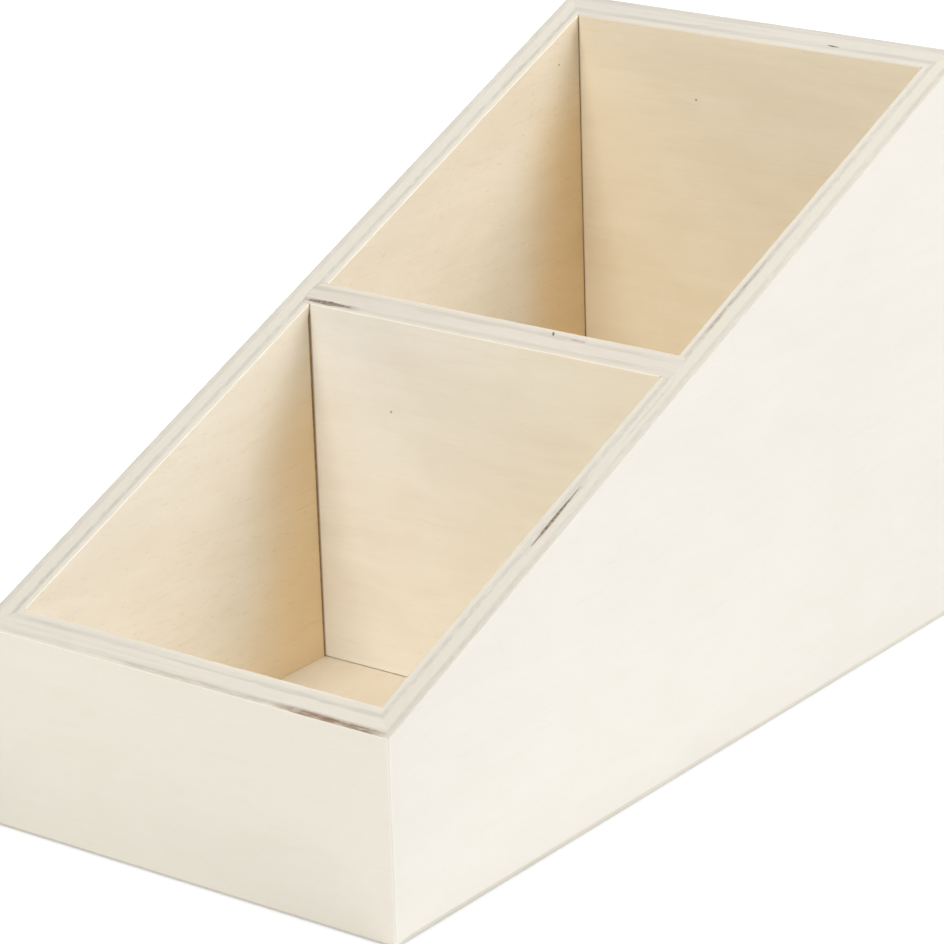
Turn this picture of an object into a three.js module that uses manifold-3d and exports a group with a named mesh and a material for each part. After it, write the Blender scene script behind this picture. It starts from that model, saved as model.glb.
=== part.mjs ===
// Display box with a sloping open top and two compartments, glued up from flat boards.
// The four walls meet in mitres, the divider stands in grooves in the sides and the
// bottom lies in a rabbet along the walls' lower inside edges.
// Millimetres, +Z up. The origin is the middle of the footprint on the ground, the low
// front faces -Y, and +X is on the right of someone who looks at the front.

import * as THREE from "three";
import { mergeVertices } from "three/addons/utils/BufferGeometryUtils.js";
import Module from "manifold-3d";

const wasm = await Module();
wasm.setup();

// Outside sizes
const OUTER_WIDTH = 126;
const OUTER_DEPTH = 250;
const FRONT_HEIGHT = 52.5;
const BACK_HEIGHT = 155.5;

// Boards
const WALL_THICKNESS = 8;
const DIVIDER_THICKNESS = 8;
const BOTTOM_THICKNESS = 4;

// Clear depth of the front compartment, from the front wall to the divider
const FRONT_COMPARTMENT_DEPTH = 113;

// Depth of the groove in each side that takes one end of the divider
const GROOVE_DEPTH = 3;

// How far the bottom reaches in under the walls
const RABBET_WIDTH = 4;

// Sanded flat that breaks each outside edge
const EDGE_BREAK = 0.6;

// Glue lines and clearances
const MITRE_GAP = 0.3;
const GROOVE_CLEARANCE = 0.3;
const RABBET_CLEARANCE = 0.3;
const FLOOR_GAP = 0.3;

// Length by which a cutting shape runs past the board that it cuts
const OVERRUN = 5;

// Sizes that follow from those above
const HALF_WIDTH = OUTER_WIDTH / 2;
const HALF_DEPTH = OUTER_DEPTH / 2;
const INNER_HALF_WIDTH = HALF_WIDTH - WALL_THICKNESS;
const INNER_HALF_DEPTH = HALF_DEPTH - WALL_THICKNESS;
const TOP = Math.max(FRONT_HEIGHT, BACK_HEIGHT) + OVERRUN;
const DIVIDER_FRONT = -INNER_HALF_DEPTH + FRONT_COMPARTMENT_DEPTH;
const DIVIDER_BACK = DIVIDER_FRONT + DIVIDER_THICKNESS;
const DIVIDER_MIDDLE = (DIVIDER_FRONT + DIVIDER_BACK) / 2;

// Bare pale plywood, as each board looks from outside
const WOOD_ROUGHNESS = 0.75;
const WOOD_METALNESS = 0;
const SIDE_COLOUR = 0xf5f1e5;
const FRONT_COLOUR = 0xe9e5d8;
const BACK_COLOUR = 0xdfcfae;
const DIVIDER_COLOUR = 0xe6dac0;
const BOTTOM_COLOUR = 0xe4d0ac;

// A closed geometry as a solid that can be joined and cut
function solid(geometry) {
  geometry.deleteAttribute("normal");
  geometry.deleteAttribute("uv");
  const merged = mergeVertices(geometry);
  const vertProperties = new Float32Array(merged.attributes.position.array);
  const triVerts = new Uint32Array(merged.index.array);
  return new wasm.Manifold(new wasm.Mesh({ numProp: 3, vertProperties, triVerts }));
}

// A solid as a geometry again
function geometryOf(body) {
  const mesh = body.getMesh();
  const geometry = new THREE.BufferGeometry();
  geometry.setAttribute("position", new THREE.BufferAttribute(mesh.vertProperties, mesh.numProp));
  geometry.setIndex(new THREE.BufferAttribute(mesh.triVerts, 1));
  return geometry;
}

// An outline of [x, y] points as a shape
function shapeOf(points) {
  return new THREE.Shape(points.map(([x, y]) => new THREE.Vector2(x, y)));
}

// An outline with a small flat in place of each corner
function withBrokenCorners(points, size) {
  const corners = points.map(([x, y]) => new THREE.Vector2(x, y));
  const outline = [];
  corners.forEach((corner, index) => {
    const before = corners.at(index - 1);
    const after = corners[(index + 1) % corners.length];
    for (const neighbour of [before, after]) {
      const along = neighbour.clone().sub(corner).setLength(size);
      const point = corner.clone().add(along);
      outline.push([point.x, point.y]);
    }
  });
  return outline;
}

// A plan outline stood up between two heights
function upright(points, low, high) {
  const geometry = new THREE.ExtrudeGeometry(shapeOf(points), { depth: high - low, bevelEnabled: false });
  return geometry.translate(0, 0, low);
}

// An upright block between two corners in plan and two heights
function block([x0, y0], [x1, y1], low, high) {
  return upright([[x0, y0], [x1, y0], [x1, y1], [x0, y1]], low, high);
}

// The box's side view, across the depth and up
const SIDE_VIEW = [
  [-HALF_DEPTH, 0],
  [HALF_DEPTH, 0],
  [HALF_DEPTH, BACK_HEIGHT],
  [-HALF_DEPTH, FRONT_HEIGHT],
];

// A side view extruded from its own middle, turned to run from side to side of the box
function sideToSide(outline, extrusion) {
  const geometry = new THREE.ExtrudeGeometry(shapeOf(outline), extrusion);
  geometry.translate(0, 0, -extrusion.depth / 2);
  const acrossDepth = new THREE.Vector3(0, 1, 0);
  const up = new THREE.Vector3(0, 0, 1);
  const acrossWidth = new THREE.Vector3(1, 0, 0);
  return geometry.applyMatrix4(new THREE.Matrix4().makeBasis(acrossDepth, up, acrossWidth));
}

// The whole box as one block, with the edges round its two side faces broken
function blockWithBrokenSides() {
  return sideToSide(SIDE_VIEW, {
    depth: OUTER_WIDTH - 2 * EDGE_BREAK,
    bevelThickness: EDGE_BREAK,
    bevelSize: EDGE_BREAK,
    bevelOffset: -EDGE_BREAK,
    bevelSegments: 1,
  });
}

// The whole box as one block, with the edges that run from side to side broken
function blockWithBrokenEnds() {
  const outline = withBrokenCorners(SIDE_VIEW, EDGE_BREAK);
  return sideToSide(outline, { depth: OUTER_WIDTH, bevelEnabled: false });
}

// The space that one wall takes, mitred at both ends. It is drawn with the wall's outer face
// towards +Y and then turned about the box's middle.
function mitredWall(halfLength, distance, turn) {
  const setback = MITRE_GAP / Math.SQRT2;
  const innerEnd = halfLength - WALL_THICKNESS - setback;
  const outerEnd = halfLength + OVERRUN - setback;
  const plan = [
    [-innerEnd, distance - WALL_THICKNESS],
    [innerEnd, distance - WALL_THICKNESS],
    [outerEnd, distance + OVERRUN],
    [-outerEnd, distance + OVERRUN],
  ];
  return upright(plan, -OVERRUN, TOP).rotateZ(turn);
}

// The rabbet that the bottom lies in, all round the walls
function rabbet() {
  const x = INNER_HALF_WIDTH + RABBET_WIDTH;
  const y = INNER_HALF_DEPTH + RABBET_WIDTH;
  return block([-x, -y], [x, y], -OVERRUN, BOTTOM_THICKNESS + RABBET_CLEARANCE);
}

// Both upright grooves for the divider, as one slot through the box
function grooves() {
  const x = INNER_HALF_WIDTH + GROOVE_DEPTH;
  const front = DIVIDER_FRONT - GROOVE_CLEARANCE;
  const back = DIVIDER_BACK + GROOVE_CLEARANCE;
  return block([-x, front], [x, back], -OVERRUN, TOP);
}

// The divider's board, before the slope of the rim cuts its top
function dividerBoard() {
  const x = INNER_HALF_WIDTH + GROOVE_DEPTH - GROOVE_CLEARANCE;
  return block([-x, DIVIDER_FRONT], [x, DIVIDER_BACK], BOTTOM_THICKNESS + FLOOR_GAP, TOP);
}

// The bottom's board
function bottomBoard() {
  const x = INNER_HALF_WIDTH + RABBET_WIDTH - RABBET_CLEARANCE;
  const y = INNER_HALF_DEPTH + RABBET_WIDTH - RABBET_CLEARANCE;
  return block([-x, -y], [x, y], 0, BOTTOM_THICKNESS);
}

const box = new THREE.Group();

// A board as a named mesh that has its own origin, given in the box's frame
function addBoard(name, body, colour, [x, y, z]) {
  const material = new THREE.MeshStandardMaterial({
    color: colour,
    roughness: WOOD_ROUGHNESS,
    metalness: WOOD_METALNESS,
  });
  const board = new THREE.Mesh(geometryOf(body).translate(-x, -y, -z), material);
  board.name = name;
  board.position.set(x, y, z);
  box.add(board);
}

const outside = solid(blockWithBrokenSides()).intersect(solid(blockWithBrokenEnds()));
const rabbetCut = solid(rabbet());
const grooveCut = solid(grooves());

// One wall, cut out of the block and rabbeted for the bottom
function wall(halfLength, distance, turn) {
  return outside.intersect(solid(mitredWall(halfLength, distance, turn))).subtract(rabbetCut);
}

const front = wall(HALF_WIDTH, HALF_DEPTH, Math.PI);
addBoard("front_panel", front, FRONT_COLOUR, [0, -HALF_DEPTH, 0]);

const back = wall(HALF_WIDTH, HALF_DEPTH, 0);
addBoard("back_panel", back, BACK_COLOUR, [0, HALF_DEPTH, 0]);

const left = wall(HALF_DEPTH, HALF_WIDTH, Math.PI / 2).subtract(grooveCut);
addBoard("left_side_panel", left, SIDE_COLOUR, [-HALF_WIDTH, 0, 0]);

const right = wall(HALF_DEPTH, HALF_WIDTH, -Math.PI / 2).subtract(grooveCut);
addBoard("right_side_panel", right, SIDE_COLOUR, [HALF_WIDTH, 0, 0]);

const divider = outside.intersect(solid(dividerBoard()));
addBoard("divider_panel", divider, DIVIDER_COLOUR, [0, DIVIDER_MIDDLE, BOTTOM_THICKNESS]);

addBoard("bottom_panel", solid(bottomBoard()), BOTTOM_COLOUR, [0, 0, 0]);

export default box;
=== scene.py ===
import math
from collections import namedtuple

import bmesh
import bpy
from mathutils import Matrix, Vector, noise


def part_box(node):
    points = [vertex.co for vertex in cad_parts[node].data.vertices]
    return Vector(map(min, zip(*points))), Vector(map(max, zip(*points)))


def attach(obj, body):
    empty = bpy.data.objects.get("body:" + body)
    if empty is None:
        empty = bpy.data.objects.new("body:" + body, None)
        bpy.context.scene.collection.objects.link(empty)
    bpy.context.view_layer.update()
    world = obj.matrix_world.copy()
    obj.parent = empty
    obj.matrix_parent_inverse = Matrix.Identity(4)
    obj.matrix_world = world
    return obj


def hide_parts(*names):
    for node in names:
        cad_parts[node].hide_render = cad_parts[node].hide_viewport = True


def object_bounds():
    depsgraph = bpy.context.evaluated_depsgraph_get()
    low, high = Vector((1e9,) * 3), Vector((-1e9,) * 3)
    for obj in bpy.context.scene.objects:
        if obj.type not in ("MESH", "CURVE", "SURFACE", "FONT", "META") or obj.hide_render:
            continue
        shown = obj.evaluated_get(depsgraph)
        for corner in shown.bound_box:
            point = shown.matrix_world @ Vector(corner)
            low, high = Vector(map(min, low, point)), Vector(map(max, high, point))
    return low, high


# Looks of a display box: bare plywood boards, mitred at the corners under a sloping rim.
# Metres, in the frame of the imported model: +Z up, the low front towards -Y, +X to the right.

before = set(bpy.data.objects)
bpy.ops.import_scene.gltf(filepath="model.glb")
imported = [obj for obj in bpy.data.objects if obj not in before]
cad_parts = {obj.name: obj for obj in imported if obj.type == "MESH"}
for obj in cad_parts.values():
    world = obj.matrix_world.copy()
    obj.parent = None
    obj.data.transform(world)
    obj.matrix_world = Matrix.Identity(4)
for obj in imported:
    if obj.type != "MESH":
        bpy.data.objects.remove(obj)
CAD_LOW, CAD_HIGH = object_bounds()
MM = 0.001

# Sizes and places read from the frame
FRONT_LOW, FRONT_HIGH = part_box("front_panel")
DIVIDER_LOW, DIVIDER_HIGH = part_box("divider_panel")
BOTTOM_LOW, BOTTOM_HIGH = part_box("bottom_panel")
HALF_WIDTH = CAD_HIGH.x
HALF_DEPTH = CAD_HIGH.y
WALL = FRONT_HIGH.y - FRONT_LOW.y
INNER_HALF_WIDTH = HALF_WIDTH - WALL
INNER_HALF_DEPTH = HALF_DEPTH - WALL
DIVIDER_THICKNESS = DIVIDER_HIGH.y - DIVIDER_LOW.y
RIM_SLOPE = (DIVIDER_HIGH.z - FRONT_HIGH.z) / (DIVIDER_HIGH.y - FRONT_HIGH.y)

# Seams: glue in the mitres, which start to open inside at the first drop below the rim and are
# open at the second, and air round the bottom and under the divider
GLUE_LINE = 0.006 * MM
CORNER_GAP = 0.08 * MM
CORNER_DROPS = (1.2 * MM, 4 * MM)
BOTTOM_SEAM = 0.05 * MM
DIVIDER_SEAM = 0.24 * MM
RABBET_DEPTH = HALF_WIDTH - BOTTOM_HIGH.x - BOTTOM_SEAM
LEDGE = BOTTOM_HIGH.z + BOTTOM_SEAM

# Sanded edges. The foot is the rounded lower outside edge of a wall: its height on the sides and on
# the front and back, its depth as a share of that, and how late the sides' foot narrows to its
# corners.
OUTER_ROUND = 0.2 * MM
INNER_ROUND = 0.3 * MM
CORNER_ROUND = 0.3 * MM
GROOVE_ROUND = 2.2 * MM
HIDDEN_ROUND = 0.02 * MM
SIDE_FOOT = 1.6 * MM
END_FOOT = 0.7 * MM
FOOT_SHARPNESS = 0.3
FOOT_TAPER = 4

# Share of an arris that the face veneer covers
INNER_SKIN = 0.3
FRONT_SKIN = 0.3

# Fineness of the meshes
ARC_STEPS = 4
GROOVE_STEPS = 12
RIM_STEPS = 12
TURN_STEPS = 4
STATION_STEP = 2 * MM
BOTTOM_STEP = 5 * MM
TURN_RUN = 3 * MM
WELD = 0.002 * MM
SHARP_ANGLE = math.radians(35)

# Unevenness left by sanding: the rim's rise and fall, and the wander of its inner edge, in a long
# and a short wave with their shares and the shift of the short one in the noise
RIM_UNEVEN = 0.03 * MM
RIM_WAVE = 7 * MM
EDGE_WANDER = 0.22 * MM
LONG_WAVE = 16 * MM
SHORT_WAVE = 4.5 * MM
LONG_SHARE = 0.6
SHORT_SHARE = 0.4
SHORT_SHIFT = 5
DIVIDER_FRONT_SEED = 17
DIVIDER_BACK_SEED = 11

# Material slots of a board
OUTSIDE, EDGE, INSIDE, VOID, SEAM, FOOT_BAND = range(6)

# What a height in a cross-section is measured from. An arris is an edge of the rim inside the box.
# The depths and heights of the foot and of the divider's arrises are in units of their radius.
GROUND, FOOT, RIM, ARRIS, FRONT_ARRIS = range(5)

# A point of a cross-section: its depth from the outer or front face, its height, what that is
# measured from, the material slot of the strip of faces that starts there, and its share of the
# gap in the inside corner
Spot = namedtuple("Spot", "depth height base slot opens", defaults=(0,))


def rim_height(y):
    """Height of the plane in which the rim of every board lies."""
    return FRONT_HIGH.z + RIM_SLOPE * (y - FRONT_HIGH.y)


def between(low, high, share):
    return low + (high - low) * share


def steps(low, high, count):
    """Evenly spaced numbers from low to high, both included."""
    return [between(low, high, step / count) for step in range(count + 1)]


def quarter(radius, count=ARC_STEPS):
    """A quarter round between two faces, as distances in from the first and from the second."""
    angles = steps(0, math.pi / 2, count)
    return [(radius * (1 - math.cos(angle)), radius * (1 - math.sin(angle))) for angle in angles]


def uneven(x, y):
    """How far the sanded rim lies above its plane."""
    return RIM_UNEVEN * noise.noise(Vector((x, y, 0)) / RIM_WAVE)


def wander(along, seed):
    """How far a rim's inner edge lies in from its straight line."""
    slow = noise.noise(Vector((along / LONG_WAVE, seed, 0)))
    quick = noise.noise(Vector((along / SHORT_WAVE, seed, SHORT_SHIFT)))
    return EDGE_WANDER * (LONG_SHARE * slow + SHORT_SHARE * quick)


def sweep(name, rings, slots):
    """A closed mesh through a row of rings of points, capped at both ends.

    slots gives the material slot of the strip of faces that starts at each point of a ring."""
    count = len(rings[0])
    shape = bmesh.new()
    rows = [[shape.verts.new(point) for point in ring] for ring in rings]
    for row, after in zip(rows, rows[1:]):
        for column in range(count):
            beside = (column + 1) % count
            face = shape.faces.new((row[column], row[beside], after[beside], after[column]))
            face.material_index = slots[column]
    for row in (rows[0], rows[-1]):
        shape.faces.new(row).material_index = SEAM
    bmesh.ops.recalc_face_normals(shape, faces=shape.faces)
    mesh = bpy.data.meshes.new(name)
    shape.to_mesh(mesh)
    shape.free()
    piece = bpy.data.objects.new(name, mesh)
    bpy.context.scene.collection.objects.link(piece)
    return piece


def cut(board, cutter):
    """Take a closed mesh out of a board."""
    modifier = board.modifiers.new("cut", "BOOLEAN")
    modifier.operation = "DIFFERENCE"
    modifier.solver = "EXACT"
    modifier.object = cutter
    shown = board.evaluated_get(bpy.context.evaluated_depsgraph_get())
    mesh = bpy.data.meshes.new_from_object(shown)
    shape = bmesh.new()
    shape.from_mesh(mesh)
    bmesh.ops.remove_doubles(shape, verts=shape.verts, dist=WELD)
    shape.to_mesh(mesh)
    shape.free()
    board.modifiers.clear()
    board.data = mesh
    bpy.data.objects.remove(cutter)


def finish_board(board, node, materials):
    """Give a board its materials and soft arrises, and set it in its CAD node's place."""
    for index, material in enumerate(materials):
        board.material_slots[index].material = material
    board.data.shade_smooth()
    board.data.set_sharp_from_angle(angle=SHARP_ANGLE)
    normals = board.modifiers.new("even_normals", "WEIGHTED_NORMAL")
    normals.keep_sharp = True
    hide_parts(node)
    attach(board, "root")


def open_slots(board):
    """Empty material slots, so that cut faces keep the slot of the cutter."""
    for _ in (OUTSIDE, EDGE, INSIDE, VOID, SEAM, FOOT_BAND):
        board.data.materials.append(None)


# Walls

def wall_section(skin):
    """Cross-section of a wall, up its outer face, over the rim and down its inner face.

    skin is the share of the outer arris that the face veneer covers."""
    section = []
    for depth, height in reversed(quarter(1)[1:]):
        section.append(Spot(depth * FOOT_SHARPNESS, height, FOOT, FOOT_BAND))
    section.append(Spot(0, 1, FOOT, OUTSIDE))
    for depth, drop in quarter(OUTER_ROUND)[:-1]:
        slot = OUTSIDE if depth <= skin * OUTER_ROUND else EDGE
        section.append(Spot(depth, -drop, RIM, slot))
    for depth in steps(OUTER_ROUND, WALL - INNER_ROUND, RIM_STEPS)[:-1]:
        section.append(Spot(depth, 0, RIM, EDGE))
    for depth, drop in reversed(quarter(INNER_ROUND)):
        slot = INSIDE if depth < INNER_SKIN * INNER_ROUND else EDGE
        section.append(Spot(WALL - depth, -drop, ARRIS, slot))
    for opens, drop in enumerate(CORNER_DROPS):
        section.append(Spot(WALL, -drop, RIM, INSIDE, opens))
    section.append(Spot(WALL, LEDGE, GROUND, EDGE, 1))
    section.append(Spot(RABBET_DEPTH, LEDGE, GROUND, EDGE))
    section.append(Spot(RABBET_DEPTH, 0, GROUND, EDGE))
    return section


def wall_stations(half):
    """Places of the cross-sections along a wall of that half length.

    Each is (side, start, share, bite): a point at some depth lies at start, moved by share of the
    way from there to the mitre, and bite is the least depth, which rounds the upright corner."""
    straight = half - WALL - TURN_RUN
    count = round(2 * straight / STATION_STEP)
    turn = []
    last_share = (half - CORNER_ROUND - straight) / (half - straight)
    for share in steps(0, last_share, TURN_STEPS)[1:]:
        turn.append((share, 0))
    for angle in steps(0, math.pi / 4, ARC_STEPS)[1:]:
        bite = CORNER_ROUND * (1 - math.cos(angle))
        reach = half - CORNER_ROUND * (1 - math.sin(angle))
        turn.append(((reach - straight) / (half - bite - straight), bite))
    near = [(-1, straight, share, bite) for share, bite in reversed(turn)]
    middle = [(1, place, 0, 0) for place in steps(-straight, straight, count)]
    far = [(1, straight, share, bite) for share, bite in turn]
    return near + middle + far


def wall(name, half, plan, foot, seed, skin=0.0):
    """One mitred wall. plan turns a place along it and a depth from its outer face into x and y."""
    section = wall_section(skin)
    rings = []
    for side, start, share, bite in wall_stations(half):
        ring = []
        for spot in section:
            depth, height = spot.depth, spot.height
            if spot.base == FOOT:
                radius = between(foot, END_FOOT, share ** FOOT_TAPER)
                depth *= radius
                height *= radius
            if spot.base == ARRIS:
                depth -= (1 - share) * wander(start, seed)
            depth = max(depth, bite)
            gap = between(GLUE_LINE, CORNER_GAP, spot.opens)
            along = side * (start + share * (half - gap - depth - start))
            x, y = plan(along, depth)
            if spot.base in (RIM, ARRIS):
                height += rim_height(y) + uneven(x, y)
            ring.append((x, y, height))
        rings.append(ring)
    board = sweep(name, rings, [spot.slot for spot in section])
    open_slots(board)
    return board


# Divider and bottom

# How far the divider reaches past its solid into a groove, where its rounded arrises end in front
# of a wall, and the length of its clean face that still shows in its grooves
GROOVE_REACH = 0.2 * MM
CLEARANCE = 0.05 * MM
GROOVE_SHOW = 0.5 * MM
DIVIDER_END = DIVIDER_HIGH.x + GROOVE_REACH
DIVIDER_FOOT = BOTTOM_HIGH.z + DIVIDER_SEAM


def divider_section():
    """Cross-section of the divider, up its front, over the rim and down its back."""
    section = [Spot(0, DIVIDER_FOOT, GROUND, INSIDE)]
    for depth, drop in quarter(1):
        slot = INSIDE if depth < INNER_SKIN else EDGE
        section.append(Spot(depth, -drop, FRONT_ARRIS, slot))
    for depth in steps(INNER_ROUND, DIVIDER_THICKNESS - INNER_ROUND, RIM_STEPS)[1:-1]:
        section.append(Spot(depth, 0, RIM, EDGE))
    for depth, drop in reversed(quarter(1)):
        slot = OUTSIDE if depth < INNER_SKIN else EDGE
        section.append(Spot(depth, -drop, ARRIS, slot))
    section.append(Spot(DIVIDER_THICKNESS, DIVIDER_FOOT, GROUND, EDGE))
    return section


def divider_stations():
    """Places of the cross-sections along the divider, and how far its rounded ends draw in."""
    straight = DIVIDER_END - GROOVE_ROUND
    clear = INNER_HALF_WIDTH - CLEARANCE
    count = round(2 * clear / STATION_STEP)
    ends = [(INNER_HALF_WIDTH, 0)]
    for angle in steps(0, math.pi / 2, GROOVE_STEPS):
        reach = straight + GROOVE_ROUND * math.sin(angle)
        ends.append((reach, GROOVE_ROUND * (1 - math.cos(angle))))
    near = [(-place, bite) for place, bite in reversed(ends)]
    return near + [(place, 0) for place in steps(-clear, clear, count)] + ends


def divider(name):
    """The board between the compartments, its ends rounded where they lie in the grooves."""
    section = divider_section()
    rings = []
    for x, bite in divider_stations():
        shows = abs(x) < INNER_HALF_WIDTH
        radius = INNER_ROUND if shows else HIDDEN_ROUND
        ring = []
        for spot in section:
            depth, height = spot.depth, spot.height
            if spot.base in (FRONT_ARRIS, ARRIS):
                depth *= radius
                height *= radius
            if spot.base == FRONT_ARRIS:
                depth += shows * wander(x, DIVIDER_FRONT_SEED)
            if spot.base == ARRIS:
                depth = DIVIDER_THICKNESS - depth - shows * wander(x, DIVIDER_BACK_SEED)
            depth = min(max(depth, bite), DIVIDER_THICKNESS - bite)
            y = DIVIDER_LOW.y + depth
            if spot.base != GROUND:
                height += rim_height(y) + uneven(x, y)
            ring.append((x, y, height))
        rings.append(ring)
    board = sweep(name, rings, [spot.slot for spot in section])
    open_slots(board)
    for face in board.data.polygons:
        in_groove = abs(face.center.x) > INNER_HALF_WIDTH + GROOVE_SHOW
        if in_groove and face.material_index != EDGE:
            face.material_index = SEAM
    return board


def bottom(name):
    """The thin board in the rabbet under the walls."""
    half = BOTTOM_HIGH.x
    section = []
    for depth, height in reversed(quarter(INNER_ROUND)):
        section.append((half - depth, BOTTOM_LOW.z + height, EDGE))
    for depth, drop in quarter(INNER_ROUND):
        section.append((half - depth, BOTTOM_HIGH.z - drop, INSIDE))
    for depth, drop in reversed(quarter(INNER_ROUND)):
        section.append((depth - half, BOTTOM_HIGH.z - drop, EDGE))
    for depth, height in quarter(INNER_ROUND):
        section.append((depth - half, BOTTOM_LOW.z + height, OUTSIDE))
    count = round((BOTTOM_HIGH.y - BOTTOM_LOW.y) / BOTTOM_STEP)
    places = steps(BOTTOM_LOW.y, BOTTOM_HIGH.y, count)
    rings = [[(x, y, z) for x, z, _ in section] for y in places]
    board = sweep(name, rings, [slot for _, _, slot in section])
    open_slots(board)
    return board


# Cuts

# Play of the divider's ends in their grooves
RIGHT_SLACK = 0.004 * MM
LEFT_SLACK = 0.05 * MM

# Notch in front of the divider along its grooves: its width at the floor and where it is widest, how
# far below the rim that is and where it has closed, and its depth into the wall
FLOOR_NOTCH = 0.45 * MM
WIDEST_NOTCH = 0.85 * MM
WIDEST_DROP = 3.5 * MM
CLOSED_DROP = 1.2 * MM
NOTCH_DEPTH = 0.15 * MM
CUT_REACH = 5 * MM

# A gap in a ply: the share of its length left off at each tip, its fineness, and its ragged edge
VOID_TIP = 0.02
VOID_STEPS = 28
VOID_SIDES = 12
VOID_RAGGED = 0.4
VOID_WAVES = 9


def groove(side, slack):
    """The housing for one end of the divider, as a cutter for the side wall on that side."""
    rim = rim_height(DIVIDER_LOW.y)
    levels = [
        (-CUT_REACH, FLOOR_NOTCH),
        (rim - WIDEST_DROP, WIDEST_NOTCH),
        (rim - CLOSED_DROP, 0),
        (rim + 2 * CUT_REACH, 0),
    ]
    inner = INNER_HALF_WIDTH - CUT_REACH
    end = DIVIDER_END + slack
    front = DIVIDER_LOW.y - slack
    back = DIVIDER_HIGH.y + slack
    rings = []
    for z, notch in levels:
        outline = [(inner, back), (inner, front - notch)]
        outline.append((INNER_HALF_WIDTH, front - notch))
        outline.append((INNER_HALF_WIDTH + NOTCH_DEPTH, front))
        for from_front, from_end in quarter(GROOVE_ROUND, GROOVE_STEPS):
            outline.append((end - from_end, front + from_front))
        for from_back, from_end in reversed(quarter(GROOVE_ROUND, GROOVE_STEPS)):
            outline.append((end - from_end, back - from_back))
        rings.append([(side * x, y, z) for x, y in outline])
    return sweep("groove", rings, [SEAM] * len(rings[0]))


def void(start, end, width, depth, lean, seed):
    """A slit where a ply has a gap, as a cutter: a ragged lens on the rim from start to end.

    Its places and sizes are in millimetres. lean is 1 where it is widest half way, and less where
    that lies nearer to its start."""
    start, end = Vector(start) * MM, Vector(end) * MM
    along = (end - start).normalized()
    across = Vector((along.y, -along.x))
    rings = []
    for share in steps(VOID_TIP, 1 - VOID_TIP, VOID_STEPS):
        middle = start.lerp(end, share)
        ragged = 1 + VOID_RAGGED * noise.noise(Vector((share * VOID_WAVES, seed, 0)))
        size = ragged * math.sin(math.pi * share ** lean)
        ring = []
        for angle in steps(0, 2 * math.pi, VOID_SIDES)[:-1]:
            place = middle + across * width / 2 * MM * size * math.cos(angle)
            sunk = depth * MM * size * math.sin(angle)
            ring.append((place.x, place.y, rim_height(place.y) + sunk))
        rings.append(ring)
    return sweep("void", rings, [VOID] * len(rings[0]))


# Shader nodes

# Shift of a noise for each step of its seed, the gloss of bare wood and the strength of its relief
SEED_SHIFT = (3.7, 1.9, 2.3)
WOOD_GLOSS = 0.25
RELIEF_STRENGTH = 0.6


def tint(red, green, blue):
    return (red, green, blue, 1.0)


def scaled(tone, factors):
    return tint(*[channel * factor for channel, factor in zip(tone, factors)])


class Nodes:
    """Adds shader nodes to a node tree by short calls, most of which give back output sockets."""

    def __init__(self, tree):
        self.tree = tree
        tree.nodes.clear()

    def add(self, kind, inputs, **settings):
        node = self.tree.nodes.new("ShaderNode" + kind)
        for name, value in settings.items():
            setattr(node, name, value)
        for name, value in inputs.items():
            if isinstance(value, bpy.types.NodeSocket):
                self.tree.links.new(value, node.inputs[name])
            else:
                node.inputs[name].default_value = value
        return node

    def math(self, operation, first, second, third=0.0):
        return self.add("Math", {0: first, 1: second, 2: third}, operation=operation).outputs[0]

    def seen(self):
        """One for what the camera sees, also in a reflection or through glass, and else none."""
        path = self.add("LightPath", {})
        seen = self.math("MAXIMUM", path.outputs["Is Camera Ray"], path.outputs["Is Glossy Ray"])
        return self.math("MAXIMUM", seen, path.outputs["Is Transmission Ray"])


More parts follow.
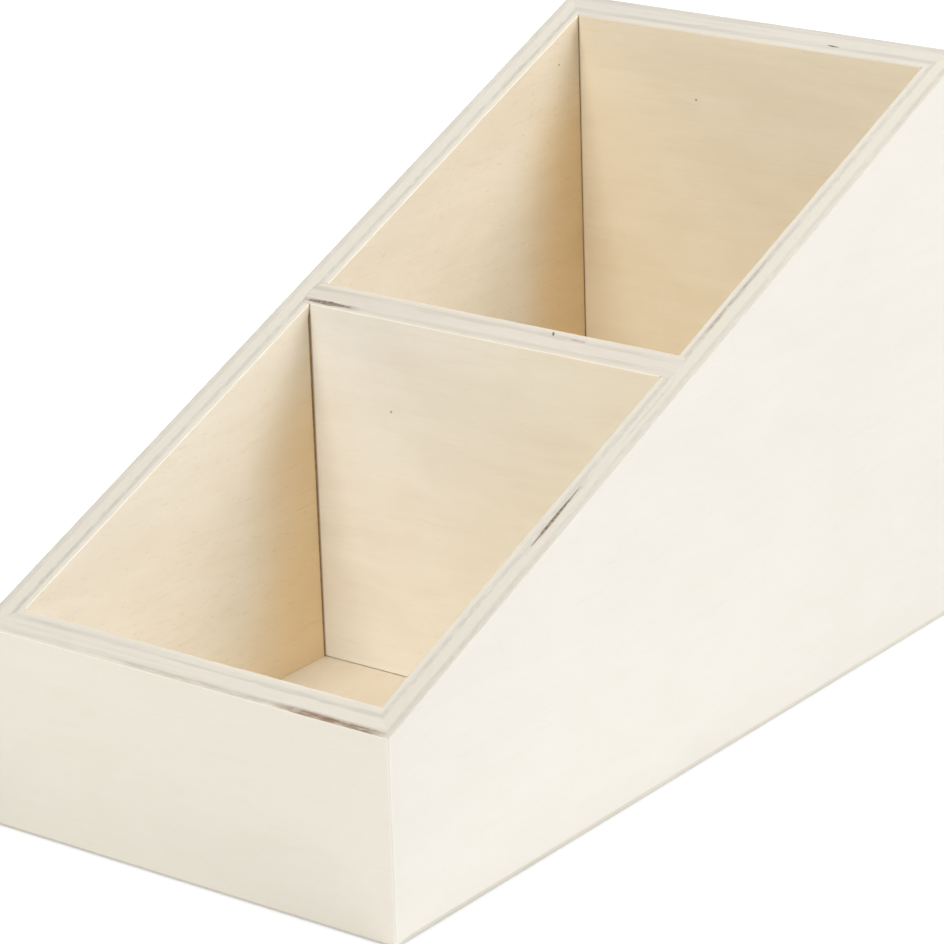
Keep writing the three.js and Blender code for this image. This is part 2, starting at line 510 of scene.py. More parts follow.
class Shade(Nodes):
    """The nodes of one material."""

    def __init__(self, name):
        self.material = bpy.data.materials.new(name)
        self.material.use_nodes = True
        super().__init__(self.material.node_tree)

    def place(self):
        """The point on the surface, in the frame."""
        return self.add("TexCoord", {}).outputs["Object"]

    def along(self, axis):
        """One coordinate of the point."""
        return self.add("SeparateXYZ", {0: self.place()}).outputs[axis.upper()]

    def from_middle(self, axis):
        """How far the point lies from the middle of the box along an axis."""
        return self.math("ABSOLUTE", self.along(axis), 0.0)

    def drop(self):
        """How far the point lies below the plane of the rim."""
        rim = self.math("MULTIPLY_ADD", self.along("y"), RIM_SLOPE, rim_height(0))
        return self.math("SUBTRACT", rim, self.along("z"))

    def grained(self, grain, layer, seed):
        """Noise whose features have the layer's length along the grain and its width across it."""
        scale = [1 / layer.length if axis == grain else 1 / layer.width for axis in "xyz"]
        shift = [seed * step for step in SEED_SHIFT]
        vector = self.add("Mapping", {"Vector": self.place(), "Scale": scale, "Location": shift})
        inputs = {
            "Vector": vector.outputs[0],
            "Scale": 1.0,
            "Detail": layer.detail,
            "Roughness": layer.roughness,
            "Distortion": layer.distortion,
        }
        return self.add("TexNoise", inputs).outputs[0]

    def ramp(self, value, low, high, start=0.0, end=1.0):
        """A smooth passage from start, at low, to end, at high."""
        inputs = {"Value": value, 1: low, 2: high, 3: start, 4: end}
        return self.add("MapRange", inputs, interpolation_type="SMOOTHSTEP").outputs[0]

    def window(self, value, low, high, soft):
        """One between low and high, and none outside, with soft edges."""
        opens = self.ramp(value, low - soft, low + soft)
        closes = self.ramp(value, high - soft, high + soft, 1.0, 0.0)
        return self.math("MULTIPLY", opens, closes)

    def mix(self, share, first, second):
        inputs = {0: share, 6: first, 7: second}
        return self.add("Mix", inputs, data_type="RGBA").outputs[2]

    def multiply(self, share, colour, factors):
        inputs = {0: share, 6: colour, 7: factors}
        return self.add("Mix", inputs, data_type="RGBA", blend_type="MULTIPLY").outputs[2]

    def surface(self, colour, roughness, height, relief):
        inputs = {"Height": height, "Distance": relief, "Strength": RELIEF_STRENGTH}
        bump = self.add("Bump", inputs)
        inputs = {
            "Base Color": colour,
            "Roughness": roughness,
            "Specular IOR Level": WOOD_GLOSS,
            "Normal": bump.outputs[0],
        }
        shader = self.add("BsdfPrincipled", inputs)
        self.add("OutputMaterial", {"Surface": shader.outputs[0]})
        return self.material


# Veneer

# A layer of noise: the length and width of its features, and the settings of the noise
Layer = namedtuple("Layer", "length width detail roughness distortion", defaults=(0.0,))
CLOUD = Layer(46 * MM, 20 * MM, 3.0, 0.6, 0.8)
BAND = Layer(55 * MM, 4.5 * MM, 3.0, 0.6, 0.7)
FIBRE = Layer(7 * MM, 0.4 * MM, 3.0, 0.65)
FLECK = Layer(2.6 * MM, 0.5 * MM, 1.5, 0.5, 0.6)
PORE = Layer(16 * MM, 1.1 * MM, 2.0, 0.5, 1.0)

# Where each layer of a veneer goes from none to full, and its share in the figure
CLOUD_RAMP = (0.3, 0.7)
BAND_RAMP = (0.3, 0.72)
FIBRE_RAMP = (0.25, 0.75)
PORE_RAMP = (0.52, 0.7)
CLOUD_SHARE = 0.5
BAND_SHARE = 0.22
FIBRE_SHARE = 0.16
PORE_SHARE = 0.18

# Where flecks and pores turn into dark dashes, how dark pores get, and the depth of a dash
FLECK_DASH = (0.63, 0.74)
PORE_DASH = (0.66, 0.76)
PORE_DARK = 0.6
DASH_DEPTH = 0.6

# Roughness from the smoothest fibre to the roughest, where those lie, and the height of the relief
VENEER_ROUGHNESS = (0.62, 0.8)
FIBRE_ENDS = (0.2, 0.8)
VENEER_RELIEF = 0.02 * MM

# Tones of the veneers. Of the faces that the photograph doesn't show, the inner ones share one tone,
# and the outer ones take that of the right side or the front.
RIGHT_OUTSIDE = (0.822, 0.792, 0.732)
FRONT_OUTSIDE = (0.902, 0.858, 0.75)
DIVIDER_FRONT = (0.923, 0.865, 0.752)
BACK_INSIDE = (0.88, 0.773, 0.588)
LEFT_INSIDE = (0.917, 0.853, 0.748)
FLOOR_INSIDE = (0.735, 0.652, 0.514)
UNSEEN = (0.9, 0.838, 0.72)

# Factors on a veneer's tone
VENEER_LIGHT = (1.03, 1.04, 1.06)
VENEER_DARK = (0.97, 0.955, 0.93)
VENEER_FLECK = (0.82, 0.75, 0.64)

# Strength of a veneer's clouds and grain, of its short dark dashes and of the painted highlight on
# its upright corners
OUTSIDE_FIGURE = (0.45, 0.1, 0.5)
INSIDE_FIGURE = (1.2, 0.14, 0.0)
LEFT_FIGURE = (1.2, 0.36, 0.0)

# Painted shade on the left side's veneer, golden and darker towards its inside corners where the
# shadows fall: its strength, the way towards the corner and its reach
LEFT_PAINTED_SHADE = (1.0, (0.0, 1.0, 0.45), 33 * MM)

# How open a place is where the painted corner shade is full and where there is none, the drop below
# the rim at which it is full, and its rise between two deeper drops
CORNER_CLOSED = 0.3
CORNER_OPEN = 0.8
CORNER_SAMPLES = 4
CORNER_FADE = 38 * MM
CORNER_SHADE_TINT = tint(1.0, 0.86, 0.645)
DEEP_LOW = 45 * MM
DEEP_HIGH = 75 * MM
DEEP_SHADE_FACTOR = 1.7

# Painted shade on that veneer under the rim, greyer and darker, weaker at the front
RIM_SHADE_REACH = 24 * MM
RIM_SHADE_FRONT = 0.25
RIM_SHADE_TINT = tint(0.885, 0.865, 0.825)

# Painted light falloff: factors on a veneer's tone at the front or left end of its board, and at the
# other end, standing in for light that falls unevenly along it
SIDE_LIGHT_FALLOFF = (tint(1.045, 1.045, 1.045), tint(0.95, 0.95, 0.95))
FRONT_LIGHT_FALLOFF = (tint(1.03, 1.025, 1.025), tint(0.98, 0.97, 0.975))
LEFT_LIGHT_FALLOFF = (tint(1.0, 1.015, 1.03), tint(1.0, 0.98, 0.93))
DIVIDER_LIGHT_FALLOFF = (tint(0.98, 0.995, 1.03), tint(1.02, 0.985, 0.9))

# Painted highlight at the upright corners, glue in the inside ones, and pin knots
HIGHLIGHT_REACH = 0.9 * MM
CORNER_HIGHLIGHT = tint(1.0, 0.97, 0.91)
GLUE_REACH = 0.5 * MM
GLUE_STRENGTH = 0.75
GLUE = tint(0.3, 0.18, 0.07)
KNOT_CORE = 0.15 * MM
KNOT_RADIUS = 0.5 * MM
KNOT_STRENGTH = 0.7
PIN_KNOT = tint(0.2, 0.12, 0.07)


def with_painted_corner_shade(shade, colour, painted_shade):
    """A veneer's colour with painted shade: golden and darker towards the inside corners, greyer and
    darker under the rim.
    """
    strength, lean, reach = painted_shade
    drop = shade.drop()
    normal = shade.add("NewGeometry", {}).outputs["Normal"]
    leaned = shade.add("VectorMath", {0: normal, 1: lean}, operation="ADD").outputs[0]
    leaned = shade.add("VectorMath", {0: leaned}, operation="NORMALIZE").outputs[0]
    inputs = {"Distance": reach, "Normal": leaned}
    openness = shade.add("AmbientOcclusion", inputs, samples=CORNER_SAMPLES).outputs["AO"]
    # Painted shade: golden and darker towards the inside corners, more so far below the rim
    corner = shade.ramp(openness, CORNER_CLOSED, CORNER_OPEN, strength, 0.0)
    corner = shade.math("MULTIPLY", corner, shade.ramp(drop, 0.0, CORNER_FADE))
    deeper = shade.ramp(drop, DEEP_LOW, DEEP_HIGH, 1.0, DEEP_SHADE_FACTOR)
    corner = shade.math("MULTIPLY", corner, deeper)
    colour = shade.multiply(corner, colour, CORNER_SHADE_TINT)
    # Painted shade under the rim, greyer and darker, strongest at the back
    to_back = shade.ramp(shade.along("y"), -HALF_DEPTH, HALF_DEPTH, RIM_SHADE_FRONT, strength)
    rim_shade = shade.ramp(drop, 0.0, RIM_SHADE_REACH, 1.0, 0.0)
    rim_shade = shade.math("MULTIPLY", rim_shade, to_back)
    return shade.multiply(rim_shade, colour, RIM_SHADE_TINT)


def with_light_falloff(shade, colour, grain, light_falloff):
    """A veneer's colour with painted light, falling off from one end of its board to the other."""
    end = HALF_DEPTH if grain == "y" else HALF_WIDTH
    factors = shade.mix(shade.ramp(shade.along(grain), -end, end), *light_falloff)
    return shade.multiply(1.0, colour, factors)


def with_glue(shade, colour, grain, glued):
    """A veneer's colour, with a line of glue in the inside corners that far from the middle."""
    far = shade.from_middle(grain)
    line = shade.ramp(far, glued - GLUE_REACH, glued, 0.0, GLUE_STRENGTH)
    return shade.mix(line, colour, GLUE)


def with_painted_corner_highlight(shade, colour, corner_highlight):
    """A veneer's colour, paler at the upright corners of the box: a painted highlight."""
    corner = HALF_WIDTH + HALF_DEPTH
    reach = shade.math("ADD", shade.from_middle("x"), shade.from_middle("y"))
    return shade.mix(shade.ramp(reach, corner - HIGHLIGHT_REACH, corner, 0.0, corner_highlight), colour, CORNER_HIGHLIGHT)


def with_knot(shade, colour, knot):
    """A veneer's colour, with a pin knot at that place."""
    far = shade.add("VectorMath", {0: shade.place(), 1: knot}, operation="DISTANCE")
    spot = shade.ramp(far.outputs["Value"], KNOT_CORE, KNOT_RADIUS, KNOT_STRENGTH, 0.0)
    return shade.mix(spot, colour, PIN_KNOT)


def veneer(name, tone, grain, seed, figure, painted_shade=None, knots=(), light_falloff=None, glued=None):
    """Fine sanded face veneer of that tone, its grain along one axis.

    figure is the strength of its clouds and grain, of its short dark dashes and of the painted
    highlight at the upright corners. painted_shade gives its painted shade in the inside corners,
    knots the places of its pin knots and light_falloff the factors on its tone at the ends of its
    board, a painted light falloff along it. glued is how far from the middle of its board the
    inside corners lie that show a line of glue."""
    contrast, flecks, corner_highlight = figure
    shade = Shade(name)
    cloud = shade.grained(grain, CLOUD, seed)
    band = shade.grained(grain, BAND, seed + 1)
    fibre = shade.grained(grain, FIBRE, seed + 2)
    fleck = shade.grained(grain, FLECK, seed + 3)
    pore = shade.grained(grain, PORE, seed + 4)
    share = shade.math("MULTIPLY", shade.ramp(cloud, *CLOUD_RAMP), CLOUD_SHARE)
    share = shade.math("MULTIPLY_ADD", shade.ramp(band, *BAND_RAMP), BAND_SHARE, share)
    share = shade.math("MULTIPLY_ADD", shade.ramp(fibre, *FIBRE_RAMP), FIBRE_SHARE, share)
    share = shade.math("MULTIPLY_ADD", shade.ramp(pore, *PORE_RAMP), PORE_SHARE, share)
    share = shade.math("MULTIPLY_ADD", share, contrast, 0.5 - contrast / 2)
    colour = shade.mix(share, scaled(tone, VENEER_LIGHT), scaled(tone, VENEER_DARK))
    dark_pore = shade.ramp(pore, *PORE_DASH, 0.0, PORE_DARK)
    dash = shade.math("MAXIMUM", shade.ramp(fleck, *FLECK_DASH), dark_pore)
    colour = shade.mix(shade.math("MULTIPLY", dash, flecks), colour, scaled(tone, VENEER_FLECK))
    # Painted shade in the inside corners and under the rim
    if painted_shade:
        colour = with_painted_corner_shade(shade, colour, painted_shade)
    # Painted light falloff from one end of the board to the other
    if light_falloff:
        colour = with_light_falloff(shade, colour, grain, light_falloff)
    if glued:
        colour = with_glue(shade, colour, grain, glued)
    # Painted highlight, paler along the upright corners
    if corner_highlight:
        colour = with_painted_corner_highlight(shade, colour, corner_highlight)
    for knot in knots:
        colour = with_knot(shade, colour, knot)
    roughness = shade.ramp(fibre, *FIBRE_ENDS, *VENEER_ROUGHNESS)
    height = shade.math("MULTIPLY_ADD", dash, -DASH_DEPTH, fibre)
    return shade.surface(colour, roughness, height, VENEER_RELIEF)


# Plies

SWAY = Layer(30 * MM, 60 * MM, 2.0, 0.6)
BLOTCH = Layer(10 * MM, 0.8 * MM, 3.0, 0.6, 0.4)
PATCH = Layer(26 * MM, 1.6 * MM, 2.0, 0.6)
EDGE_FIBRE = Layer(6 * MM, 0.3 * MM, 3.0, 0.7)
ROUGH = Layer(0.7 * MM, 0.4 * MM, 2.0, 0.6)
SPECK = Layer(3.5 * MM, 0.9 * MM, 2.0, 0.6)
GRIT = Layer(1.5 * MM, 0.6 * MM, 3.0, 0.7)

# How far sway and blotches shift the plies, and where the plies show clearly
SWAY_SHIFT = 1.0 * MM
BLOTCH_SHIFT = 1.3 * MM
PATCH_RAMP = (0.25, 0.6)

# Dark streaks of fibres and blotches
FIBRE_STREAK = (0.5, 0.8)
BLOTCH_STREAK = (0.56, 0.72)
STREAK_STRENGTH = 0.3
PLY_STREAK = (0.84, 0.825, 0.8)

# Roughness of a sanded edge and of raw wood, and the height of their relief
EDGE_ROUGHNESS = (0.7, 0.9)
ROUGH_ENDS = (0.2, 0.8)
ROUGH_HEIGHT = 0.5
EDGE_RELIEF = 0.04 * MM
RAW_ROUGHNESS = (0.85, 0.95)
RAW_RAMP = (0.3, 0.7)
RAW_RELIEF = 0.2 * MM
RAW_SEED = 4

# Tones of the plies on the rims and of the foot, a darker grey band along the lower outside edge
RIGHT_RIM = (0.614, 0.578, 0.504)
LEFT_RIM = (0.629, 0.592, 0.516)
FRONT_RIM = (0.633, 0.592, 0.517)
BACK_RIM = (0.594, 0.557, 0.495)
DIVIDER_RIM = (0.608, 0.563, 0.489)
FOOT_EDGE = (0.77, 0.732, 0.655)

# Plies through the board, in from its outer veneer: share of its thickness and factors on its tone
PLY_LAYERS = [
    (0.14, (0.91, 0.905, 0.9)),
    (0.24, (0.92, 0.915, 0.91)),
    (0.3, (1.03, 1.03, 1.03)),
    (0.6, (1.02, 1.02, 1.02)),
    (0.66, (0.86, 0.855, 0.85)),
    (0.77, (0.88, 0.875, 0.87)),
    (0.84, (1.04, 1.035, 1.025)),
    (0.93, (1.07, 1.06, 1.04)),
    (1, (1.07, 1.06, 1.03)),
]
SKIN_SHARE = 0.07
PLAIN_SKIN = (0.96, 0.955, 0.95)
DARK_SKIN = (0.88, 0.88, 0.86)
PALE_SKIN = (1.06, 1.05, 1.03)
CREAM_SKIN = (1.05, 1.04, 1.01)

# Stains: their soft ends as a share of their length, their soft ragged sides, their mottling by
# blotches and specks, and how far below the rim they start to end and have ended
STAIN_ENDS = 0.16
STAIN_SOFT = 0.3 * MM
STAIN_RAGGED = 0.6 * MM
BLOTCH_MOTTLE = (0.32, 0.6, 0.6, 1.0)
SPECK_MOTTLE = (0.36, 0.6, 0.5, 1.1)
STAIN_LOW = 2 * MM
STAIN_NONE = 5 * MM
BROWN = tint(0.22, 0.145, 0.085)
GREY = tint(0.36, 0.315, 0.265)
RUST = tint(0.26, 0.12, 0.11)

# Raw wood in the gaps of the plies and in the seams
VOID_DARK = tint(0.17, 0.135, 0.105)
VOID_LIGHT = tint(0.38, 0.31, 0.25)
SEAM_DARK = tint(0.27, 0.16, 0.07)
SEAM_LIGHT = tint(0.55, 0.37, 0.17)


def ply_layers(shade, depth, tone, skin):
    """The colours of the plies at a depth from the outer face."""
    plies = shade.add("ValToRGB", {0: shade.math("DIVIDE", depth, WALL)})
    for share, factors in [(0, skin), (SKIN_SHARE, skin)] + PLY_LAYERS:
        if share == 0:
            stop = plies.color_ramp.elements[0]
        elif share == 1:
            stop = plies.color_ramp.elements[-1]
        else:
            stop = plies.color_ramp.elements.new(share)
        stop.color = scaled(tone, factors)
    return plies.outputs[0]


def stained(shade, colour, grain, seed, depth, fibre, blotch, stains):
    """The colour of a rim with its stains."""
    along = shade.along(grain)
    ragged = shade.math("MULTIPLY_ADD", fibre, STAIN_RAGGED, depth)
    ragged = shade.math("SUBTRACT", ragged, STAIN_RAGGED / 2)
    speck = shade.grained(grain, SPECK, seed + 5)
    mottle = shade.ramp(blotch, *BLOTCH_MOTTLE)
    mottle = shade.math("MULTIPLY", mottle, shade.ramp(speck, *SPECK_MOTTLE))
    on_rim = shade.ramp(shade.drop(), STAIN_LOW, STAIN_NONE, 1.0, 0.0)
    mottle = shade.math("MULTIPLY", mottle, on_rim)
    for start, end, low, high, strength, stain_colour in stains:
        length = shade.window(along, start, end, (end - start) * STAIN_ENDS)
        width = shade.window(ragged, low, high, STAIN_SOFT)
        share = shade.math("MULTIPLY", length, width)
        share = shade.math("MULTIPLY", share, mottle)
        colour = shade.mix(shade.math("MULTIPLY", share, strength), colour, stain_colour)
    return colour


def ply_edge(name, tone, axis, outer, inward, grain, seed, skin, stains=()):
    """Sanded edge of five-ply board of that tone.

    axis, outer and inward give the depth from the board's outer face, and grain the axis along it.
    skin holds the factors on its tone in the outer veneer. Each stain is (start, end, low, high,
    strength, colour): a stretch along it, between two depths."""
    shade = Shade(name)
    depth = shade.math("MULTIPLY_ADD", shade.along(axis), inward, -inward * outer)
    sway = shade.grained(grain, SWAY, seed)
    patch = shade.grained(grain, PATCH, seed + 1)
    fibre = shade.grained(grain, EDGE_FIBRE, seed + 2)
    rough = shade.grained(grain, ROUGH, seed + 3)
    blotch = shade.grained(grain, BLOTCH, seed + 4)
    swayed = shade.math("MULTIPLY_ADD", sway, SWAY_SHIFT, depth)
    swayed = shade.math("MULTIPLY_ADD", blotch, BLOTCH_SHIFT, swayed)
    swayed = shade.math("SUBTRACT", swayed, (SWAY_SHIFT + BLOTCH_SHIFT) / 2)
    plies = ply_layers(shade, swayed, tone, skin)
    colour = shade.mix(shade.ramp(patch, *PATCH_RAMP), tint(*tone), plies)
    streak = shade.math("MULTIPLY", shade.ramp(fibre, *FIBRE_STREAK), STREAK_STRENGTH)
    blotches = shade.ramp(blotch, *BLOTCH_STREAK)
    streak = shade.math("MULTIPLY_ADD", blotches, STREAK_STRENGTH, streak)
    colour = shade.mix(streak, colour, scaled(tone, PLY_STREAK))
    if stains:
        colour = stained(shade, colour, grain, seed, depth, fibre, blotch, stains)
    roughness = shade.ramp(rough, *ROUGH_ENDS, *EDGE_ROUGHNESS)
    height = shade.math("MULTIPLY_ADD", rough, ROUGH_HEIGHT, fibre)
    return shade.surface(colour, roughness, height, EDGE_RELIEF)


def raw_wood(name, dark, light):
    """Raw wood in the gaps of the plies or in the seams."""
    shade = Shade(name)
    grit = shade.grained("z", GRIT, RAW_SEED)
    colour = shade.mix(shade.ramp(grit, *RAW_RAMP), dark, light)
    roughness = shade.ramp(grit, *ROUGH_ENDS, *RAW_ROUGHNESS)
    return shade.surface(colour, roughness, grit, RAW_RELIEF)


raw_core = raw_wood("raw_core", VOID_DARK, VOID_LIGHT)
raw_seam = raw_wood("raw_seam", SEAM_DARK, SEAM_LIGHT)


# Boards

def stain(start, end, low, high, strength, colour):
    """A stretch of darker ply, in millimetres along the board and in from its outer face."""
    return start * MM, end * MM, low * MM, high * MM, strength, colour


RIGHT_STAINS = [
    stain(-124, -72, 0.5, 1.7, 0.16, GREY),
    stain(-65, -40, 3.9, 5.2, 0.34, GREY),
    stain(-25, -6, 3.3, 3.9, 0.3, GREY),
    stain(2, 52, 5.2, 6.6, 0.22, GREY),
    stain(12, 40, 5.5, 6.3, 0.42, BROWN),
    stain(92, 124, 0.6, 1.7, 0.18, GREY),
]
LEFT_STAINS = [
    stain(-122, -66, 5.4, 6.4, 0.25, GREY),
    stain(84, 120, 5.5, 6.5, 0.3, GREY),
]
FRONT_STAINS = [
    stain(-18, 42, 0.3, 1.5, 0.3, BROWN),
    stain(31, 61, -0.3, 1.9, 0.45, BROWN),
    stain(35, 59, 0.1, 1.5, 0.95, BROWN),
    stain(39, 49, 0.3, 1.4, 0.1, RUST),
    stain(-58, -2, 3.2, 3.9, 0.16, GREY),
    stain(30, 60, 4.8, 6.1, 0.22, GREY),
]
BACK_STAINS = [
    stain(-50, 10, 2.9, 3.7, 0.12, GREY),
]
DIVIDER_STAINS = [
    stain(-58, -41, 0.8, 2.1, 0.5, RUST),
    stain(-60, -18, 2.8, 4.7, 0.1, GREY),
    stain(-60, -25, 5.4, 7, 0.08, GREY),
    stain(33, 46, 1.6, 2.3, 0.22, GREY),
    stain(14, 24, 5.4, 6.6, 0.22, GREY),
    stain(24, 28.5, 5.5, 6.3, 0.5, RUST),
]

# The plies of the thin bottom are thinner than a wall's by this factor
BOTTOM_PLIES = 2


def at(x, y, z):
    """A place given in millimetres."""
    return x * MM, y * MM, z * MM


def right_plan(along, depth):
    return HALF_WIDTH - depth, along


def left_plan(along, depth):
    return depth - HALF_WIDTH, along


def front_plan(along, depth):
    return along, depth - HALF_DEPTH


def back_plan(along, depth):
    return along, HALF_DEPTH - depth


def make_right():
    board = wall("right_side_board", HALF_DEPTH, right_plan, SIDE_FOOT, seed=1)
    cut(board, groove(1, RIGHT_SLACK))
    cut(board, void((58.45, -63.5), (58.2, -42), width=0.9, depth=0.4, lean=0.85, seed=1))
    finish_board(board, "right_side_panel", [
        veneer("veneer_right_outside", RIGHT_OUTSIDE, "y", 1, OUTSIDE_FIGURE, light_falloff=SIDE_LIGHT_FALLOFF),
        ply_edge("plies_right", RIGHT_RIM, "x", HALF_WIDTH, -1, "y", 1, PLAIN_SKIN, RIGHT_STAINS),
        veneer("veneer_right_inside", UNSEEN, "y", 6, LEFT_FIGURE),
        raw_core,
        raw_seam,
        ply_edge("foot_right", FOOT_EDGE, "x", HALF_WIDTH, -1, "y", 7, PLAIN_SKIN),
    ])


def make_left():
    board = wall("left_side_board", HALF_DEPTH, left_plan, SIDE_FOOT, seed=2)
    cut(board, groove(-1, LEFT_SLACK))
    inside = veneer(
        "veneer_left_inside", LEFT_INSIDE, "y", 16, LEFT_FIGURE,
        # Painted shade in the inside corners and under the rim
        painted_shade=LEFT_PAINTED_SHADE,
        knots=[at(-55, 107.5, 140.3)],
        light_falloff=LEFT_LIGHT_FALLOFF,
        glued=INNER_HALF_DEPTH,
    )
    finish_board(board, "left_side_panel", [
        veneer("veneer_left_outside", RIGHT_OUTSIDE, "y", 11, OUTSIDE_FIGURE, light_falloff=SIDE_LIGHT_FALLOFF),
        ply_edge("plies_left", LEFT_RIM, "x", -HALF_WIDTH, 1, "y", 2, DARK_SKIN, LEFT_STAINS),
        inside,
        raw_core,
        raw_seam,
        ply_edge("foot_left", FOOT_EDGE, "x", -HALF_WIDTH, 1, "y", 8, PLAIN_SKIN),
    ])


def make_front():
    board = wall("front_board", HALF_WIDTH, front_plan, END_FOOT, seed=3, skin=FRONT_SKIN)
    finish_board(board, "front_panel", [
        veneer("veneer_front_outside", FRONT_OUTSIDE, "x", 21, OUTSIDE_FIGURE, light_falloff=FRONT_LIGHT_FALLOFF),
        ply_edge("plies_front", FRONT_RIM, "y", -HALF_DEPTH, 1, "x", 3, PALE_SKIN, FRONT_STAINS),
        veneer("veneer_front_inside", UNSEEN, "x", 26, INSIDE_FIGURE),
        raw_core,
        raw_seam,
        ply_edge("foot_front", FOOT_EDGE, "y", -HALF_DEPTH, 1, "x", 9, PLAIN_SKIN),
    ])


def make_back():
    board = wall("back_board", HALF_WIDTH, back_plan, END_FOOT, seed=4)
    cut(board, void((24, 119.9), (28, 119.7), width=0.5, depth=0.4, lean=0.9, seed=3))
    inside = veneer(
        "veneer_back_inside", BACK_INSIDE, "x", 36, INSIDE_FIGURE,
        knots=[at(-16.2, 117, 133.5)],
        glued=INNER_HALF_WIDTH,
    )
    finish_board(board, "back_panel", [
        veneer("veneer_back_outside", FRONT_OUTSIDE, "x", 31, OUTSIDE_FIGURE),
        ply_edge("plies_back", BACK_RIM, "y", HALF_DEPTH, -1, "x", 4, DARK_SKIN, BACK_STAINS),
        inside,
        raw_core,
        raw_seam,
        ply_edge("foot_back", FOOT_EDGE, "y", HALF_DEPTH, -1, "x", 10, PLAIN_SKIN),
    ])


def make_divider():
    board = divider("divider_board")
    cut(board, void((-56.5, -2.7), (-42, -2.5), width=1.4, depth=0.3, lean=0.75, seed=5))
    cut(board, void((18.7, 1.8), (17.6, 3.3), width=0.6, depth=0.4, lean=1, seed=7))
    edge = ply_edge(
        "plies_divider", DIVIDER_RIM, "y", DIVIDER_LOW.y, 1, "x", 5, CREAM_SKIN,
        stains=DIVIDER_STAINS,
    )
    front = veneer(
        "veneer_divider_front", DIVIDER_FRONT, "x", 46, INSIDE_FIGURE,
        knots=[at(-29.4, -4, 77.5)],
        light_falloff=DIVIDER_LIGHT_FALLOFF,
        glued=INNER_HALF_WIDTH,
    )
    finish_board(board, "divider_panel", [
        veneer("veneer_divider_back", UNSEEN, "x", 41, INSIDE_FIGURE),
        edge,
        front,
        raw_core,
        raw_seam,
    ])


def make_bottom():
    board = bottom("bottom_board")
    finish_board(board, "bottom_panel", [
        veneer("veneer_bottom_outside", FRONT_OUTSIDE, "y", 51, OUTSIDE_FIGURE),
        ply_edge("plies_bottom", FOOT_EDGE, "z", BOTTOM_LOW.z, BOTTOM_PLIES, "y", 6, PLAIN_SKIN),
        veneer("veneer_bottom_inside", FLOOR_INSIDE, "y", 56, INSIDE_FIGURE),
        raw_core,
        raw_seam,
    ])


# Stage

WHITE = tint(1, 1, 1)
WORLD_GLOW = 0.044
FLOOR_HALF = 3.0
FLOOR_GLOW = 0.92
FLOOR_SHADE = tint(0.3, 0.3, 0.3)
FLOOR_PALE = tint(0.8, 0.8, 0.79)

# Shade where the box meets the floor: how far it reaches, the glow left at the box, and how open the
# floor is there
CONTACT_REACH = 3 * MM
CONTACT_GLOW = 0.55
CONTACT_OPEN = 0.5
CONTACT_SAMPLES = 8


def floor_material():
    """White to the camera, keeping some of the box's shadow, and a pale floor to all other light."""
    shade = Shade("pale_floor")
    pale = shade.add("BsdfDiffuse", {"Color": FLOOR_PALE})
    dim = shade.add("BsdfDiffuse", {"Color": FLOOR_SHADE})
    inputs = {"Distance": CONTACT_REACH}
    openness = shade.add("AmbientOcclusion", inputs, samples=CONTACT_SAMPLES).outputs["AO"]
    strength = shade.ramp(openness, CONTACT_OPEN, 1.0, CONTACT_GLOW, FLOOR_GLOW)
    glow = shade.add("Emission", {"Color": WHITE, "Strength": strength})
    bright = shade.add("AddShader", {0: dim.outputs[0], 1: glow.outputs[0]})
    inputs = {0: shade.seen(), 1: pale.outputs[0], 2: bright.outputs[0]}
    surface = shade.add("MixShader", inputs)
    shade.add("OutputMaterial", {"Surface": surface.outputs[0]})
    return shade.material


def add_floor():
    corners = [(-1, -1), (1, -1), (1, 1), (-1, 1)]
    mesh = bpy.data.meshes.new("floor")
    points = [(FLOOR_HALF * x, FLOOR_HALF * y, CAD_LOW.z) for x, y in corners]
    mesh.from_pydata(points, [], [range(len(points))])
    mesh.materials.append(floor_material())
    floor = bpy.data.objects.new("floor", mesh)
    bpy.context.scene.collection.objects.link(floor)


def add_world():
    """A faint even light, which the camera sees as white."""
    world = bpy.data.worlds.new("studio")
    world.use_nodes = True
    nodes = Nodes(world.node_tree)
    light = nodes.add("Background", {"Color": WHITE, "Strength": WORLD_GLOW})
    white = nodes.add("Background", {"Color": WHITE})
    inputs = {0: nodes.seen(), 1: light.outputs[0], 2: white.outputs[0]}
    mix = nodes.add("MixShader", inputs)
    nodes.add("OutputWorld", {"Surface": mix.outputs[0]})
    bpy.context.scene.world = world


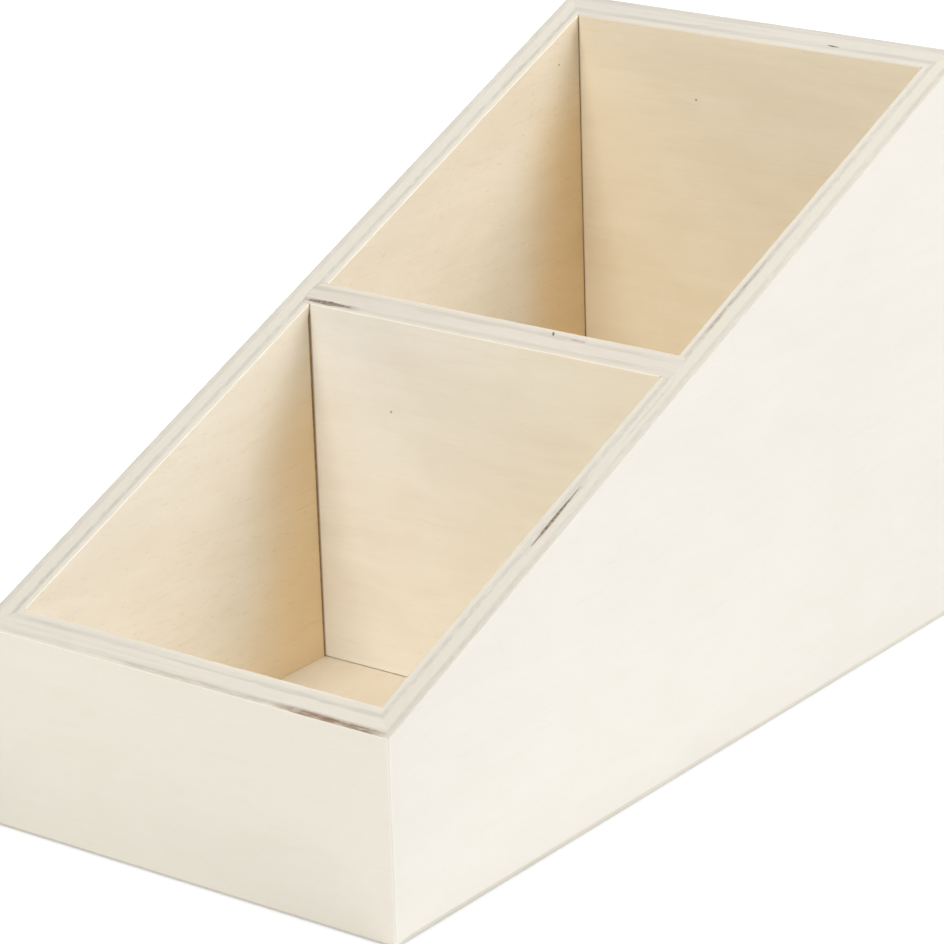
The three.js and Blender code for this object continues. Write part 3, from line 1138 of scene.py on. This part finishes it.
def add_lamp(name, place, width, height, power):
    """A soft light that faces the middle of the box."""
    data = bpy.data.lights.new(name, "AREA")
    data.shape = "RECTANGLE"
    data.size = width
    data.size_y = height
    data.energy = power
    lamp = bpy.data.objects.new(name, data)
    lamp.location = place
    aim = (CAD_LOW + CAD_HIGH) / 2 - lamp.location
    lamp.rotation_euler = aim.to_track_quat("-Z", "Y").to_euler()
    bpy.context.scene.collection.objects.link(lamp)


def add_lamps():
    add_lamp("overhead", (0.45, 0.5, 1.1), width=0.6, height=0.6, power=8.45)
    add_lamp("window", (0.8, 0.65, 0.7), width=0.7, height=0.7, power=7.2)
    add_lamp("top_front", (0.0, -0.6, 1.1), width=0.6, height=0.6, power=10.1)
    add_lamp("front", (0.1, -1.3, 0.5), width=1.2, height=1.2, power=2.75)
    add_lamp("corner_strip", (0.85, -0.85, 0.13), width=0.6, height=0.22, power=0.45)
    add_lamp("left_strip", (-1.1, 0.3, 0.13), width=0.9, height=0.22, power=5.5)


# Camera, from a fit to the box's edges in the photograph
CAMERA_PLACE = Vector((628.89 * MM, -825.25 * MM, 445.75 * MM))
CAMERA_AZIMUTH = math.radians(37.612)
CAMERA_ELEVATION = math.radians(20.113)
CAMERA_ROLL = math.radians(-1.878)
CAMERA_LENS = 165.64
CAMERA_SENSOR = 36.0


def add_camera():
    level = math.cos(CAMERA_ELEVATION)
    back = Vector((
        math.sin(CAMERA_AZIMUTH) * level,
        -math.cos(CAMERA_AZIMUTH) * level,
        math.sin(CAMERA_ELEVATION),
    ))
    right = Vector((math.cos(CAMERA_AZIMUTH), math.sin(CAMERA_AZIMUTH), 0))
    up = back.cross(right)
    turn = Matrix((right, up, back)).transposed() @ Matrix.Rotation(CAMERA_ROLL, 3, "Z")
    data = bpy.data.cameras.new("camera")
    data.lens = CAMERA_LENS
    data.sensor_width = CAMERA_SENSOR
    camera = bpy.data.objects.new("camera", data)
    camera.matrix_world = Matrix.Translation(CAMERA_PLACE) @ turn.to_4x4()
    bpy.context.scene.collection.objects.link(camera)
    bpy.context.scene.camera = camera


add_camera()
make_right()
make_left()
make_front()
make_back()
make_divider()
make_bottom()
add_floor()
add_world()
add_lamps()
bpy.context.scene.view_settings.view_transform = "Standard"
